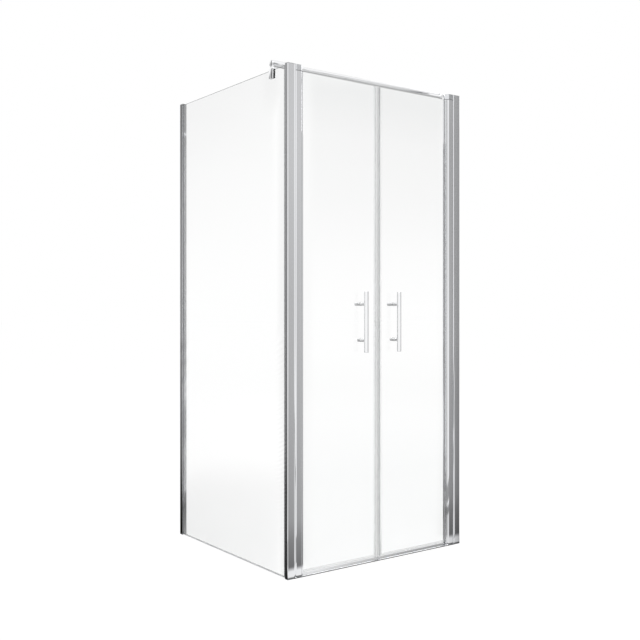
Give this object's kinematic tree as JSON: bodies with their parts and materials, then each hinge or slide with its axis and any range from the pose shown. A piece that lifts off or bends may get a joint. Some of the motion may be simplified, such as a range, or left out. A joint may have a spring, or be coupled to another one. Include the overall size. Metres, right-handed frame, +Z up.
{
  "type": "pivot shower door",
  "caption": "Corner shower enclosure: a fixed glass side pane, a front of meeting glass pivot doors with T-bar handles, and a stabiliser bar above the doors.",
  "frame": {"origin": "middle of the bounding box in plan, on the floor", "axes": "+X right along the door front, +Y back into the shower, +Z up"},
  "size_m": [0.901, 0.907, 1.984],
  "materials": {
    "bright_profile": "bright silver anodised, satin",
    "polished_chrome": "polished",
    "pivot_metal": "satin",
    "clear_glass": "clear toughened",
    "clear_seal": "clear soft",
    "grey_liner": "soft matt",
    "cap_plastic": "satin grey",
    "bush_plastic": "matt",
    "white_magnet": "matt",
    "rubber_pad": "matt",
    "steel_screw": "plain"
  },
  "bodies": {
    "frame": {"corner_post": "bright_profile", "corner_post_cap": "cap_plastic", "wall_profile": "bright_profile", "wall_profile_cap": "cap_plastic", "side_wall_profile": "bright_profile", "side_wall_profile_cap": "cap_plastic", "side_glass": "clear_glass", "side_front_liner": "grey_liner", "side_back_liner": "grey_liner", "side_bottom_seal": "clear_seal", "threshold_rail": "bright_profile", "stabiliser_bar": "polished_chrome", "stabiliser_sleeve": "polished_chrome", "stabiliser_clamp": "polished_chrome", "clamp_pads": "rubber_pad", "clamp_grub_screw": "steel_screw", "stabiliser_flange": "polished_chrome", "flange_grub_screw": "steel_screw", "left_jamb": "bright_profile", "left_jamb_screws": "steel_screw", "left_pivot_top": "pivot_metal", "left_pivot_bottom": "pivot_metal", "right_jamb": "bright_profile", "right_jamb_screws": "steel_screw", "right_pivot_top": "pivot_metal", "right_pivot_bottom": "pivot_metal"},
    "left_door": {"left_hinge_profile": "bright_profile", "left_hinge_bush_bottom": "bush_plastic", "left_hinge_bush_top": "bush_plastic", "left_door_glass": "clear_glass", "left_glass_liner": "grey_liner", "left_meeting_seal": "clear_seal", "left_magnet_strip": "white_magnet", "left_bottom_seal": "clear_seal", "left_handle_bar": "polished_chrome", "left_handle_standoff_upper": "polished_chrome", "left_handle_standoff_lower": "polished_chrome", "left_inner_knob": "polished_chrome", "left_inner_cap": "polished_chrome", "left_handle_washers": "rubber_pad", "left_handle_studs": "steel_screw"},
    "right_door": {"right_hinge_profile": "bright_profile", "right_hinge_bush_bottom": "bush_plastic", "right_hinge_bush_top": "bush_plastic", "right_door_glass": "clear_glass", "right_glass_liner": "grey_liner", "right_meeting_seal": "clear_seal", "right_magnet_strip": "white_magnet", "right_bottom_seal": "clear_seal", "right_handle_bar": "polished_chrome", "right_handle_standoff_upper": "polished_chrome", "right_handle_standoff_lower": "polished_chrome", "right_inner_knob": "polished_chrome", "right_inner_cap": "polished_chrome", "right_handle_washers": "rubber_pad", "right_handle_studs": "steel_screw"}
  },
  "joints": [
    {"name": "left_door_hinge", "type": "hinge", "parent": "frame", "child": "left_door", "pos_m": [-0.397, -0.4085, 0], "axis": [0, 0, 1], "range_deg": [-90, 90]},
    {"name": "right_door_hinge", "type": "hinge", "parent": "frame", "child": "right_door", "pos_m": [0.398, -0.4085, 0], "axis": [0, 0, 1], "range_deg": [-90, 90]}
  ]
}
